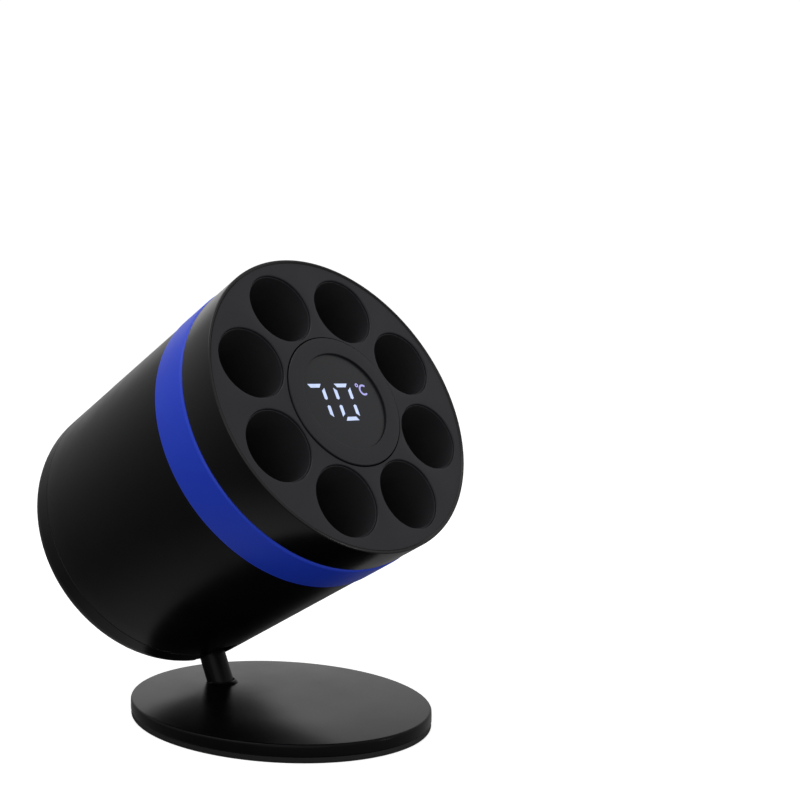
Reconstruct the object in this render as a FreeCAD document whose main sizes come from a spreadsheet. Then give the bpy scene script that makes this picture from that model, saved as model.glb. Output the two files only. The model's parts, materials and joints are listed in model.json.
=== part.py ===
import FreeCAD
import Part
import Sketcher
import math
import os

# Dry block heater: a round barrel with a ring of tube wells, tilted back on a short post and an oval foot.
# Millimetres, +Z up, origin at the centre of the foot's underside, the barrel's face towards -Y.
# Barrel pieces are drawn in the barrel's own frame: the face at z = 0, the back at z = -barrel_length,
# and +y towards the top of the barrel. Depths are counted back from the face.

Vector = FreeCAD.Vector

SIZES = [
    ("tilt_angle", 27.0, "barrel above level, and lean of the post"),
    ("base_length", 81.5, "oval foot, front to back"),
    ("base_width", 63.0, "oval foot, side to side"),
    ("plate_thickness", 2.7, "steel plate of the foot"),
    ("plate_round", 0.5, "round on the plate's top edge"),
    ("pad_thickness", 1.3, "grip pad under the plate"),
    ("pad_inset", 0.1, "pad edge inside the plate edge"),
    ("post_diameter", 6.5, "post"),
    ("post_foot_offset", 22.2, "post foot behind the middle of the plate"),
    ("post_gap", 6.75, "bare post between plate and barrel"),
    ("post_inset", 6.9, "post axis in front of the barrel's back"),
    ("collar_width", 0.6, "collar beyond the post"),
    ("collar_height", 0.9, "collar along the post"),
    ("barrel_length", 80.0, "face to back"),
    ("body_radius", 36.75, "outside of the barrel"),
    ("body_wall", 1.6, "wall of the body shell"),
    ("cap_length", 10.0, "gloss front cap, face to accent ring"),
    ("cap_round", 0.5, "round on the front cap's edge"),
    ("ring_width", 10.7, "accent ring along the barrel"),
    ("ring_proud", 0.2, "accent ring above the body"),
    ("ring_round", 0.35, "round on the accent ring's edges"),
    ("spigot_wall", 0.75, "front cap's spigot, under the ring and the body"),
    ("spigot_overlap", 3.0, "spigots inside the body shell"),
    ("rear_cap_depth", 8.5, "rear cap along the barrel"),
    ("rear_wall", 2.4, "flat back of the rear cap"),
    ("rear_round", 4.8, "round on the rear cap's edge"),
    ("rear_spigot_wall", 1.5, "rear cap's spigot"),
    ("seam_gap", 0.2, "open seam in front of the rear cap"),
    ("fit_clearance", 0.05, "between pieces that are fitted together"),
    ("moving_clearance", 0.3, "between pieces that move past each other"),
    ("face_thickness", 2.0, "face plate"),
    ("face_lip", 0.8, "front cap's rim around the face plate"),
    ("well_count", 8, "wells"),
    ("well_web", 2.617, "face plate between neighbouring wells"),
    ("well_margin", 1.95, "face plate outside the wells"),
    ("well_depth", 44.0, "well, below the face plate"),
    ("mouth_clearance", 0.2, "face plate hole beyond the well"),
    ("mouth_round", 0.25, "broken edge of the face plate holes"),
    ("cup_wall", 0.6, "wall of a well cup"),
    ("cup_floor", 0.8, "floor of a well cup"),
    ("display_margin", 0.7, "face plate between the wells and the display cap's hole"),
    ("display_cap_proud", 0.35, "display cap above the face"),
    ("display_cap_round", 0.2, "round on the display cap's edge"),
    ("display_rim", 4.05, "display cap around its window"),
    ("window_depth", 0.55, "lens below the top of the display cap"),
    ("lens_thickness", 1.8, "display lens"),
    ("lens_seat", 0.8, "lens held beyond the window"),
    ("press_travel", 0.5, "travel of the display cap"),
    ("skirt_wall", 1.15, "skirt of the display cap"),
    ("skirt_depth", 7.0, "skirt behind the lens"),
    ("hook_width", 1.0, "hook inside the skirt"),
    ("hook_thickness", 0.8, "hook along the barrel"),
    ("carrier_wall", 1.4, "sleeve of the display carrier"),
    ("carrier_flange", 1.0, "flange of the display carrier"),
    ("carrier_length", 13.0, "face plate to heater core"),
    ("display_thickness", 5.0, "digit module, front to back"),
    ("board_thickness", 1.2, "circuit boards"),
    ("switch_width", 4.5, "mode switch"),
    ("switch_height", 3.3, "mode switch above its board"),
    ("switch_gap", 0.7, "digit module above the mode switch"),
    ("plunger_radius", 1.2, "mode switch plunger"),
    ("plunger_engagement", 1.0, "plunger inside the switch at rest"),
    ("core_bore", 4.0, "cable hole through the core"),
    ("sensor_radius", 1.5, "temperature probe"),
    ("sensor_length", 8.8, "temperature probe"),
    ("sensor_offset", 9.5, "temperature probe below the barrel axis"),
    ("mat_thickness", 1.5, "heater mat"),
    ("disc_thickness", 5.0, "insulation disc"),
    ("sleeve_wall", 0.5, "insulation sleeve"),
    ("frame_thickness", 2.5, "rear frame"),
    ("standoff_radius", 2.5, "core standoffs"),
    ("standoff_ring", 12.0, "ring of core standoffs"),
    ("standoff_count", 3, "core standoffs"),
    ("screw_radius", 1.25, "shanks of the small screws"),
    ("screw_head_radius", 2.4, "heads of the small screws"),
    ("screw_head_height", 1.5, "heads of the small screws"),
    ("screw_bite", 4.0, "screw length held in a thread"),
    ("pivot_inset", 8.35, "hinge axis inside the barrel's skin"),
    ("pin_radius", 1.5, "hinge pin"),
    ("pin_head_radius", 2.4, "hinge pin's heads"),
    ("pin_head_length", 0.8, "hinge pin's heads"),
    ("knuckle_radius", 4.2, "knuckle at the top of the post"),
    ("knuckle_width", 7.0, "knuckle along the hinge pin"),
    ("washer_thickness", 0.5, "friction washers"),
    ("ear_thickness", 2.0, "ears of the hinge bracket"),
    ("bracket_thickness", 2.0, "foot of the hinge bracket"),
    ("bracket_width", 24.0, "foot of the hinge bracket"),
    ("bracket_screw_spread", 18.0, "between the bracket screws"),
    ("tilt_up", 6.0, "tilt from rest, face up"),
    ("tilt_down", 20.0, "tilt from rest, face down"),
    ("control_width", 40.0, "control board, side to side"),
    ("control_height", 22.0, "control board, top to bottom"),
    ("control_gap", 3.3, "control board's upper corners inside the body shell"),
    ("control_margin", 3.0, "board screws inside the board edge"),
    ("spacer_radius", 2.4, "board spacers"),
    ("spacer_length", 5.0, "board spacers"),
    ("transistor_width", 10.0, "power transistor"),
    ("transistor_height", 4.5, "power transistor"),
    ("transistor_length", 7.0, "power transistor"),
    ("capacitor_radius", 4.0, "smoothing capacitor"),
    ("capacitor_length", 7.4, "smoothing capacitor"),
    ("cable_width", 6.0, "display cable"),
    ("cable_thickness", 1.0, "display cable"),
    ("pillar_radius", 3.2, "rear frame's pillars, which hold the rear cap"),
    ("pillar_margin", 1.9, "pillars inside the rear cap's spigot"),
    ("pillar_count", 3, "pillars"),
    ("cap_screw_length", 12.0, "rear cap screws under the head"),
    ("inlet_offset", 10.0, "power inlet below the barrel axis"),
    ("inlet_radius", 4.5, "barrel of the power inlet"),
    ("inlet_length", 13.0, "barrel of the power inlet inside the back"),
    ("inlet_flange_radius", 6.0, "outer flange of the power inlet"),
    ("inlet_flange", 1.0, "outer flange of the power inlet"),
    ("socket_radius", 2.8, "hole of the power inlet"),
    ("socket_depth", 9.0, "hole of the power inlet"),
    ("socket_pin_radius", 1.0, "centre pin of the power inlet"),
]

doc = FreeCAD.newDocument("dry_block_heater")
sheet = doc.addObject("Spreadsheet::Sheet", "sheet")
for row, (alias, number, meaning) in enumerate(SIZES, start=1):
    sheet.set(f"A{row}", alias)
    sheet.set(f"B{row}", str(number))
    sheet.setAlias(f"B{row}", alias)
    sheet.set(f"C{row}", meaning)
doc.recompute()


class Size:
    """A number, together with the spreadsheet expression that it comes from."""

    def __init__(self, value, text):
        self.value = float(value)
        self.text = text

    def __add__(self, other):
        other = as_size(other)
        return Size(self.value + other.value, f"({self.text} + {other.text})")

    def __sub__(self, other):
        other = as_size(other)
        return Size(self.value - other.value, f"({self.text} - {other.text})")

    def __mul__(self, other):
        other = as_size(other)
        return Size(self.value * other.value, f"({self.text} * {other.text})")

    def __truediv__(self, other):
        other = as_size(other)
        return Size(self.value / other.value, f"({self.text} / {other.text})")

    def __neg__(self):
        return Size(-self.value, f"(0 - {self.text})")


class Sheet:
    """Reads the spreadsheet's cells by their names."""

    def __getattr__(self, alias):
        return Size(getattr(sheet, alias), f"sheet.{alias}")


def as_size(number):
    return number if isinstance(number, Size) else Size(number, str(number))


def sine(angle):
    return Size(math.sin(math.radians(angle.value)), f"sin({angle.text})")


def cosine(angle):
    return Size(math.cos(math.radians(angle.value)), f"cos({angle.text})")


def tangent(angle):
    return Size(math.tan(math.radians(angle.value)), f"tan({angle.text})")


def other_side(longest, side):
    """The other short side of a right-angled triangle."""
    square = longest * longest - side * side
    return Size(math.sqrt(square.value), f"sqrt({square.text})")


size = Sheet()
ZERO = as_size(0)
CLOSE = 1e-4  # millimetres, to find an edge by its place

# Depths behind the face
ring_front = size.cap_length
ring_back = ring_front + size.ring_width
spigot_end = ring_back + size.spigot_overlap
seam = size.barrel_length - size.rear_cap_depth
rear_inside = size.barrel_length - size.rear_wall
post_station = size.barrel_length - size.post_inset
face_back = size.face_thickness
cup_end = face_back + size.well_depth + size.cup_floor
core_front = face_back + size.carrier_length
mat_back = cup_end + size.mat_thickness
disc_back = mat_back + size.disc_thickness
frame_back = disc_back + size.frame_thickness
control_front = frame_back + size.spacer_length
control_back = control_front + size.board_thickness
lens_front = size.window_depth - size.display_cap_proud
lens_back = lens_front + size.lens_thickness
skirt_end = lens_back + size.skirt_depth
display_front = lens_back + size.press_travel + size.moving_clearance
display_back = display_front + size.display_thickness
flange_back = skirt_end - size.hook_thickness - size.fit_clearance * 2
flange_front = flange_back - size.carrier_flange

# Radii of the barrel's layers, from the skin inwards
spigot_radius = size.body_radius - size.spigot_wall - size.fit_clearance
inner_radius = size.body_radius - size.body_wall
face_radius = size.body_radius - size.face_lip - size.fit_clearance
sleeve_radius = inner_radius - size.fit_clearance * 2
frame_radius = inner_radius - size.fit_clearance
rear_spigot_radius = inner_radius - size.fit_clearance
rear_bore = rear_spigot_radius - size.rear_spigot_wall
pillar_ring = rear_bore - size.pillar_margin - size.pillar_radius

# The wells fill the face plate, between its margin and the webs that part them
half_step = as_size(180) / size.well_count
well_reach = face_radius - size.well_margin
well_pitch = (well_reach + size.well_web / 2) / (as_size(1) + sine(half_step))
mouth_radius = well_reach - well_pitch
well_radius = mouth_radius - size.mouth_clearance
cup_radius = well_radius + size.cup_wall

# The display cap fills the middle of the ring of wells, and the display sits inside its skirt
display_bore = well_pitch - mouth_radius - size.display_margin
display_cap_radius = display_bore - size.moving_clearance
window_radius = display_cap_radius - size.display_rim
skirt_bore = display_cap_radius - size.skirt_wall
hook_bore = skirt_bore - size.hook_width
flange_radius = skirt_bore - size.moving_clearance
carrier_radius = hook_bore - size.moving_clearance
carrier_bore = carrier_radius - size.carrier_wall
display_reach = carrier_bore - size.moving_clearance
switch_half = size.switch_width / 2
switch_offset = other_side(display_reach, switch_half) - switch_half
display_half_height = switch_offset - switch_half - size.switch_gap
display_half_width = other_side(display_reach, display_half_height)

# The control board hangs under the top of the body shell
control_top = other_side(inner_radius - size.control_gap, size.control_width / 2)
control_offset = control_top - size.control_height / 2

# Hinge axis, in the barrel's frame and in the stand's
pivot_y = size.pivot_inset - size.body_radius
ear_inside = size.knuckle_width / 2 + size.washer_thickness + size.fit_clearance * 2
ear_outside = ear_inside + size.ear_thickness
plate_top = size.pad_thickness + size.plate_thickness
lean = size.tilt_angle
pivot_reach = size.post_gap + size.pivot_inset
pivot_back = size.post_foot_offset + pivot_reach * sine(lean)
pivot_up = plate_top + pivot_reach * cosine(lean)

# Middle of the face, in the stand's frame
axis_reach = size.post_gap + size.body_radius
face_y = size.post_foot_offset + axis_reach * sine(lean) - post_station * cosine(lean)
face_z = plate_top + axis_reach * cosine(lean) + post_station * sine(lean)

parts = []


def bind(item, name, value):
    """Ties one property of an object to the spreadsheet."""
    item.setExpression(name, as_size(value).text)


def move(item, x=ZERO, y=ZERO, z=ZERO):
    """Places an object at a point tied to the spreadsheet."""
    bind(item, "Placement.Base.x", x)
    bind(item, "Placement.Base.y", y)
    bind(item, "Placement.Base.z", z)


def turn(item, axis, angle):
    """Turns an object about an axis by an angle tied to the spreadsheet."""
    start = item.Placement.Base
    item.Placement = FreeCAD.Placement(start, FreeCAD.Rotation(axis, as_size(angle).value))
    bind(item, "Placement.Rotation.Angle", angle)


def on_stand(item, label):
    """Keeps a finished piece of the stand, drawn where it stands."""
    item.Label = label
    parts.append(item)


def in_barrel(item, label):
    """Keeps a finished piece of the barrel, and sets it into the tilted barrel.

    A bare bar is grouped first, because its own placement holds its place in the barrel.
    """
    if item.TypeId in ("Part::Cylinder", "Part::Box"):
        item = group(f"{item.Name}_placed", [item])
    item.Label = label
    turn(item, Vector(1, 0, 0), as_size(90) - size.tilt_angle)
    move(item, ZERO, face_y, face_z)
    parts.append(item)


def rod(name, radius, front, back, x=ZERO, y=ZERO):
    """A round bar along the barrel, between two depths behind the face."""
    item = doc.addObject("Part::Cylinder", name)
    bind(item, "Radius", radius)
    bind(item, "Height", back - front)
    move(item, as_size(x), as_size(y), -back)
    return item


def cross_rod(name, radius, left, right, y, z):
    """A round bar across the barrel, between two places along x."""
    item = doc.addObject("Part::Cylinder", name)
    bind(item, "Radius", radius)
    bind(item, "Height", right - left)
    item.Placement.Rotation = FreeCAD.Rotation(Vector(0, 1, 0), 90)
    move(item, left, y, z)
    return item


def block(name, left, right, bottom, top, front, back):
    """A square bar in the barrel's frame, between two places along each axis."""
    item = doc.addObject("Part::Box", name)
    bind(item, "Length", right - left)
    bind(item, "Width", top - bottom)
    bind(item, "Height", back - front)
    move(item, left, bottom, -back)
    return item


def joined(name, items):
    item = doc.addObject("Part::MultiFuse", name)
    item.Shapes = items
    return item


def group(name, items):
    item = doc.addObject("Part::Compound", name)
    item.Links = items
    return item


def cut(name, base, tools):
    item = doc.addObject("Part::Cut", name)
    item.Base = base
    item.Tool = tools[0] if len(tools) == 1 else joined(f"{name}_tools", tools)
    return item


def ring_places(count, radius, first_angle):
    """Places evenly spaced on a circle around the barrel axis, as sizes."""
    places = []
    for index in range(int(round(count.value))):
        angle = as_size(first_angle) + as_size(360 * index) / count
        places.append((radius * cosine(angle), radius * sine(angle)))
    return places


def well_places():
    """Well axes, with two wells side by side at the top."""
    return ring_places(size.well_count, well_pitch, as_size(90) + half_step)


def new_body(name):
    return doc.addObject("PartDesign::Body", name)


def origin_item(body, role):
    for item in body.Origin.OriginFeatures:
        if item.Role == role:
            return item
    raise RuntimeError(role)


def new_sketch(body, name, plane):
    sketch = body.newObject("Sketcher::SketchObject", name)
    sketch.AttachmentSupport = (origin_item(body, plane), [""])
    sketch.MapMode = "FlatFace"
    return sketch


def fix_point(sketch, item, point, across, along):
    """Holds a sketch point at a place tied to the spreadsheet."""
    for kind, value in (("DistanceX", across), ("DistanceY", along)):
        rule = Sketcher.Constraint(kind, -1, 1, item, point, value.value)
        number = sketch.addConstraint(rule)
        sketch.setExpression(f"Constraints[{number}]", value.text)


def outline(sketch, points):
    """A closed outline of straight lines through points tied to the spreadsheet."""
    corners = [Vector(across.value, along.value, 0) for across, along in points]
    following = corners[1:] + corners[:1]
    for start, end in zip(corners, following):
        sketch.addGeometry(Part.LineSegment(start, end), False)
    for index in range(len(points)):
        after = (index + 1) % len(points)
        sketch.addConstraint(Sketcher.Constraint("Coincident", index, 2, after, 1))
    for index, (across, along) in enumerate(points):
        fix_point(sketch, index, 1, across, along)


def circle(sketch, across, along, radius):
    """A circle whose middle and radius are tied to the spreadsheet."""
    middle = Vector(across.value, along.value, 0)
    item = sketch.addGeometry(Part.Circle(middle, Vector(0, 0, 1), radius.value), False)
    number = sketch.addConstraint(Sketcher.Constraint("Radius", item, radius.value))
    sketch.setExpression(f"Constraints[{number}]", radius.text)
    fix_point(sketch, item, 3, across, along)


def turned(body, points):
    """A turned piece: an outline of radii and depths, carried round the barrel axis."""
    sketch = new_sketch(body, f"{body.Name}_profile", "XZ_Plane")
    outline(sketch, [(as_size(radius), -as_size(depth)) for radius, depth in points])
    feature = body.newObject("PartDesign::Revolution", f"{body.Name}_turned")
    feature.Profile = sketch
    feature.ReferenceAxis = (sketch, ["V_Axis"])
    feature.Angle = 360
    doc.recompute()
    return feature


def rounded(body, feature, radius, rings):
    """Rounds the circular edges that have a given radius and depth."""
    names = []
    for index, edge in enumerate(feature.Shape.Edges, start=1):
        if not isinstance(edge.Curve, Part.Circle):
            continue
        for ring, depth in rings:
            same_radius = abs(edge.Curve.Radius - ring.value) < CLOSE
            same_depth = abs(edge.Curve.Center.z + depth.value) < CLOSE
            if same_radius and same_depth:
                names.append(f"Edge{index}")
    if not names:
        raise RuntimeError(f"no edge to round on {body.Name}")
    item = body.newObject("PartDesign::Fillet", f"{body.Name}_round")
    item.Base = (feature, names)
    bind(item, "Radius", radius)
    doc.recompute()
    return item


def pocket(body, sketch, depth, reverse=False):
    """Cuts a sketch into a body, and makes sure that the cut takes something away."""
    before = body.Shape.Volume
    item = body.newObject("PartDesign::Pocket", f"{sketch.Name}_cut")
    item.Profile = sketch
    bind(item, "Length", depth)
    item.Reversed = reverse
    doc.recompute()
    if not item.Shape.Volume < before:
        raise RuntimeError(f"{item.Name} cuts nothing")
    return item


def pattern(body, feature, count):
    """Repeats a cut evenly round the barrel axis."""
    item = body.newObject("PartDesign::PolarPattern", f"{feature.Name}_pattern")
    item.Originals = [feature]
    item.Axis = (origin_item(body, "Z_Axis"), [""])
    item.Angle = 360
    bind(item, "Occurrences", count)
    body.Tip = item
    doc.recompute()
    return item


def post_slot(body):
    """Cuts the slot that lets the barrel tilt on its post."""
    half_width = size.post_diameter / 2 + size.moving_clearance * 2
    half_post = size.post_diameter / 2
    up = size.tilt_up
    down = size.tilt_down
    ahead = size.pivot_inset * tangent(down) + half_post / cosine(down) + size.moving_clearance * 2
    behind = size.pivot_inset * tangent(up) + half_post / cosine(up) + size.moving_clearance
    front = -(post_station - ahead)
    back = -(post_station + behind)
    sketch = new_sketch(body, f"{body.Name}_slot", "XZ_Plane")
    corners = [(-half_width, back), (half_width, back), (half_width, front), (-half_width, front)]
    outline(sketch, corners)
    return pocket(body, sketch, size.body_radius + size.ring_proud, reverse=True)


def oval(inset):
    """The foot's outline, a circle stretched to its length and width, some way inside its edge."""
    stretch = FreeCAD.Matrix()
    half_width = sheet.base_width / 2 - inset
    half_length = sheet.base_length / 2 - inset
    stretch.scale(half_width, half_length, 1)
    edge = Part.makeCircle(1).toNurbs().transformGeometry(stretch)
    return Part.Face(Part.Wire(edge.Edges))


def make_base_pad():
    item = doc.addObject("Part::Feature", "base_pad")
    item.Shape = oval(sheet.pad_inset).extrude(Vector(0, 0, sheet.pad_thickness))
    on_stand(item, "base_pad")


def leaning_rod(name, radius, start, end):
    """A round bar on the post's axis, between two distances above the plate."""
    item = doc.addObject("Part::Cylinder", name)
    bind(item, "Radius", radius)
    bind(item, "Height", end - start)
    turn(item, Vector(-1, 0, 0), lean)
    back = size.post_foot_offset + start * sine(lean)
    move(item, ZERO, back, plate_top + start * cosine(lean))
    return item


def below(name, height):
    """Everything under one height, to trim leaning pieces flat."""
    item = doc.addObject("Part::Box", name)
    bind(item, "Length", size.base_width)
    bind(item, "Width", size.base_length)
    bind(item, "Height", size.base_length)
    move(item, -size.base_width / 2, -size.base_length / 2, height - size.base_length)
    return item


def post_root():
    """How far the post's axis runs on below the plate's top, so that its end is trimmed all round."""
    return size.plate_thickness / cosine(lean) + size.post_diameter * tangent(lean)


def make_base_plate():
    slab = doc.addObject("Part::Feature", "plate_slab")
    blank = oval(0).extrude(Vector(0, 0, sheet.plate_thickness))
    top_edges = [edge for edge in blank.Edges if edge.BoundBox.ZMin > sheet.plate_thickness / 2]
    slab.Shape = blank.makeFillet(min(sheet.plate_round, sheet.plate_thickness / 2), top_edges)
    move(slab, ZERO, ZERO, size.pad_thickness)
    hole_radius = size.post_diameter / 2 + size.fit_clearance
    hole = leaning_rod("plate_hole", hole_radius, -post_root(), post_root())
    on_stand(cut("base_plate", slab, [hole]), "base_plate")


def make_post():
    shaft = leaning_rod("post_shaft", size.post_diameter / 2, -post_root(), pivot_reach)
    half_width = size.knuckle_width / 2
    knuckle = cross_rod("post_knuckle", size.knuckle_radius, -half_width, half_width, pivot_back, pivot_up)
    eye_radius = size.pin_radius + size.fit_clearance
    eye = cross_rod("post_eye", eye_radius, -size.knuckle_width, size.knuckle_width, pivot_back, pivot_up)
    whole = joined("post_blank", [shaft, knuckle])
    on_stand(cut("post", whole, [eye, below("post_trim", size.pad_thickness)]), "post")


def make_post_collar():
    radius = size.post_diameter / 2 + size.collar_width
    ring = leaning_rod("collar_ring", radius, -post_root(), size.collar_height)
    hole_radius = size.post_diameter / 2 + size.fit_clearance
    hole = leaning_rod("collar_hole", hole_radius, -post_root(), size.collar_height + size.collar_height)
    on_stand(cut("post_collar", ring, [hole, below("collar_trim", plate_top)]), "post_collar")


def make_front_cap():
    body = new_body("front_cap")
    rim_bore = size.body_radius - size.face_lip
    feature = turned(body, [
        (inner_radius, face_back),
        (rim_bore, face_back),
        (rim_bore, ZERO),
        (size.body_radius, ZERO),
        (size.body_radius, ring_front),
        (spigot_radius, ring_front),
        (spigot_radius, spigot_end),
        (inner_radius, spigot_end),
    ])
    rounded(body, feature, size.cap_round, [(size.body_radius, ZERO)])
    in_barrel(body, "front_cap")


def make_face_plate():
    body = new_body("face_plate")
    turned(body, [
        (display_bore, ZERO),
        (face_radius, ZERO),
        (face_radius, face_back),
        (display_bore, face_back),
    ])
    mouth = new_sketch(body, "well_mouth", "XY_Plane")
    first_x, first_y = well_places()[0]
    circle(mouth, first_x, first_y, mouth_radius)
    mouths = pattern(body, pocket(body, mouth, face_back), size.well_count)
    names = []
    for index, edge in enumerate(mouths.Shape.Edges, start=1):
        on_face = abs(edge.BoundBox.ZMin) < CLOSE and abs(edge.BoundBox.ZMax) < CLOSE
        if on_face and abs(edge.Curve.Radius - mouth_radius.value) < CLOSE:
            names.append(f"Edge{index}")
    item = body.newObject("PartDesign::Fillet", "mouth_round")
    item.Base = (mouths, names)
    bind(item, "Radius", size.mouth_round)
    in_barrel(body, "face_plate")


def make_accent_ring():
    body = new_body("accent_ring")
    radius = size.body_radius + size.ring_proud
    bore = spigot_radius + size.fit_clearance
    feature = turned(body, [
        (bore, ring_front),
        (radius, ring_front),
        (radius, ring_back),
        (bore, ring_back),
    ])
    rounded(body, feature, size.ring_round, [(radius, ring_front), (radius, ring_back)])
    in_barrel(body, "accent_ring")


def make_body_shell():
    body = new_body("body_shell")
    step_bore = spigot_radius + size.fit_clearance
    step = spigot_end + size.fit_clearance
    turned(body, [
        (step_bore, ring_back),
        (size.body_radius, ring_back),
        (size.body_radius, seam - size.seam_gap),
        (inner_radius, seam - size.seam_gap),
        (inner_radius, step),
        (step_bore, step),
    ])
    post_slot(body)
    in_barrel(body, "body_shell")


def make_rear_cap():
    body = new_body("rear_cap_shell")
    feature = turned(body, [
        (ZERO, rear_inside),
        (rear_bore, rear_inside),
        (rear_bore, seam - size.spigot_overlap),
        (rear_spigot_radius, seam - size.spigot_overlap),
        (rear_spigot_radius, seam),
        (size.body_radius, seam),
        (size.body_radius, size.barrel_length),
        (ZERO, size.barrel_length),
    ])
    rounded(body, feature, size.rear_round, [(size.body_radius, size.barrel_length)])
    post_slot(body)
    outside = size.barrel_length + size.rear_wall
    inlet_y = -size.inlet_offset
    holes = [rod("inlet_hole", size.inlet_radius + size.fit_clearance, seam, outside, ZERO, inlet_y)]
    for index, (x, y) in enumerate(pillar_places()):
        holes.append(rod(f"cap_hole_{index}", size.screw_radius + size.fit_clearance, seam, outside, x, y))
        seat_radius = size.screw_head_radius + size.moving_clearance
        holes.append(rod(f"cap_seat_{index}", seat_radius, cap_screw_seat(), outside, x, y))
    in_barrel(cut("rear_cap_cut", body, holes), "rear_cap")


def pillar_places():
    return ring_places(size.pillar_count, pillar_ring, 90)


def cap_screw_seat():
    """Depth of the seats that take the rear cap screws' heads flush with the back."""
    return size.barrel_length - size.screw_head_height


def make_rear_cap_screws():
    tip = cap_screw_seat() - size.cap_screw_length
    items = screws("cap_screw", pillar_places(), tip, cap_screw_seat())
    in_barrel(group("cap_screw_group", items), "rear_cap_screws")


def screws(name, places, tip, under_head):
    """Pan-head screws driven from the back, with a socket in each head."""
    items = []
    head_top = under_head + size.screw_head_height
    for index, (x, y) in enumerate(places):
        shank = rod(f"{name}_shank_{index}", size.screw_radius, tip, under_head, x, y)
        head = rod(f"{name}_head_{index}", size.screw_head_radius, under_head, head_top, x, y)
        socket = rod(f"{name}_socket_{index}", size.screw_head_radius / 2,
                     head_top - size.screw_head_height / 2, head_top + size.screw_head_height, x, y)
        items.append(cut(f"{name}_{index}", joined(f"{name}_blank_{index}", [shank, head]), [socket]))
    return items


def make_well_cups():
    cups = []
    for index, (x, y) in enumerate(well_places()):
        outside = rod(f"cup_outside_{index}", cup_radius, face_back, cup_end, x, y)
        inside = rod(f"cup_inside_{index}", well_radius, face_back - size.cup_floor,
                     face_back + size.well_depth, x, y)
        cups.append(cut(f"cup_{index}", outside, [inside]))
    in_barrel(group("cup_group", cups), "well_cups")


def make_heater_core():
    core = rod("core_blank", well_pitch, core_front, cup_end)
    tools = [rod("core_bore", size.core_bore, core_front - size.core_bore, cup_end + size.core_bore)]
    for index, (x, y) in enumerate(well_places()):
        tools.append(rod(f"core_scallop_{index}", cup_radius + size.fit_clearance,
                         core_front - cup_radius, cup_end + cup_radius, x, y))
    for index, (x, y) in enumerate(standoff_places()):
        thread_end = cup_end - size.screw_bite - size.moving_clearance
        tools.append(rod(f"core_thread_{index}", size.screw_radius + size.fit_clearance,
                         thread_end, cup_end + size.screw_bite, x, y))
    probe_hole = rod("probe_hole", size.sensor_radius + size.fit_clearance, core_front - size.sensor_length,
                     core_front + size.sensor_length + size.moving_clearance, ZERO, -size.sensor_offset)
    in_barrel(cut("heater_core_cut", core, tools + [probe_hole]), "heater_core")


def standoff_places():
    return ring_places(size.standoff_count, size.standoff_ring, 90)


def make_temperature_sensor():
    item = rod("sensor_rod", size.sensor_radius, core_front, core_front + size.sensor_length,
               ZERO, -size.sensor_offset)
    in_barrel(item, "temperature_sensor")


def holed_disc(name, radius, front, back, hole_radius):
    """A disc behind the core, with holes for the cable and the standoffs."""
    disc = rod(f"{name}_blank", radius, front, back)
    tools = [rod(f"{name}_bore", size.core_bore, front - size.core_bore, back + size.core_bore)]
    for index, (x, y) in enumerate(standoff_places()):
        tools.append(rod(f"{name}_hole_{index}", hole_radius, front - hole_radius,
                         back + hole_radius, x, y))
    return disc, tools


def make_heater_mat():
    reach = well_pitch + cup_radius
    hole_radius = size.standoff_radius + size.fit_clearance
    disc, tools = holed_disc("mat", reach, cup_end, mat_back, hole_radius)
    in_barrel(cut("heater_mat_cut", disc, tools), "heater_mat")


def make_insulation_disc():
    hole_radius = size.standoff_radius + size.fit_clearance
    disc, tools = holed_disc("foam", sleeve_radius - size.sleeve_wall, mat_back, disc_back, hole_radius)
    in_barrel(cut("insulation_disc_cut", disc, tools), "insulation_disc")


def make_insulation_sleeve():
    outside = rod("sleeve_outside", sleeve_radius, face_back, disc_back)
    inside = rod("sleeve_inside", sleeve_radius - size.sleeve_wall, face_back - size.sleeve_wall,
                 disc_back + size.sleeve_wall)
    in_barrel(cut("insulation_sleeve_cut", outside, [inside]), "insulation_sleeve")


def make_rear_frame():
    clearance_hole = size.screw_radius + size.fit_clearance
    disc, tools = holed_disc("frame", frame_radius, disc_back, frame_back, clearance_hole)
    for index, (x, y) in enumerate(bracket_screw_places() + board_screw_places()):
        tools.append(rod(f"frame_thread_{index}", clearance_hole, disc_back - size.frame_thickness,
                         frame_back + size.frame_thickness, x, y))
    pieces = [disc]
    thread_end = cap_screw_seat() - size.cap_screw_length - size.moving_clearance
    for index, (x, y) in enumerate(pillar_places()):
        pieces.append(rod(f"pillar_{index}", size.pillar_radius, frame_back, rear_inside, x, y))
        tools.append(rod(f"pillar_thread_{index}", clearance_hole, thread_end, size.barrel_length, x, y))
    in_barrel(cut("rear_frame_cut", joined("rear_frame_blank", pieces), tools), "rear_frame")


def make_core_standoffs():
    items = []
    for index, (x, y) in enumerate(standoff_places()):
        outside = rod(f"standoff_outside_{index}", size.standoff_radius, cup_end, disc_back, x, y)
        inside = rod(f"standoff_inside_{index}", size.screw_radius + size.fit_clearance,
                     cup_end - size.standoff_radius, disc_back + size.standoff_radius, x, y)
        items.append(cut(f"standoff_{index}", outside, [inside]))
    in_barrel(group("standoff_group", items), "core_standoffs")


def make_core_screws():
    items = screws("core_screw", standoff_places(), cup_end - size.screw_bite, frame_back)
    in_barrel(group("core_screw_group", items), "core_screws")


def bracket_screw_places():
    half = size.bracket_screw_spread / 2
    return [(-half, pivot_y), (half, pivot_y)]


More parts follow.
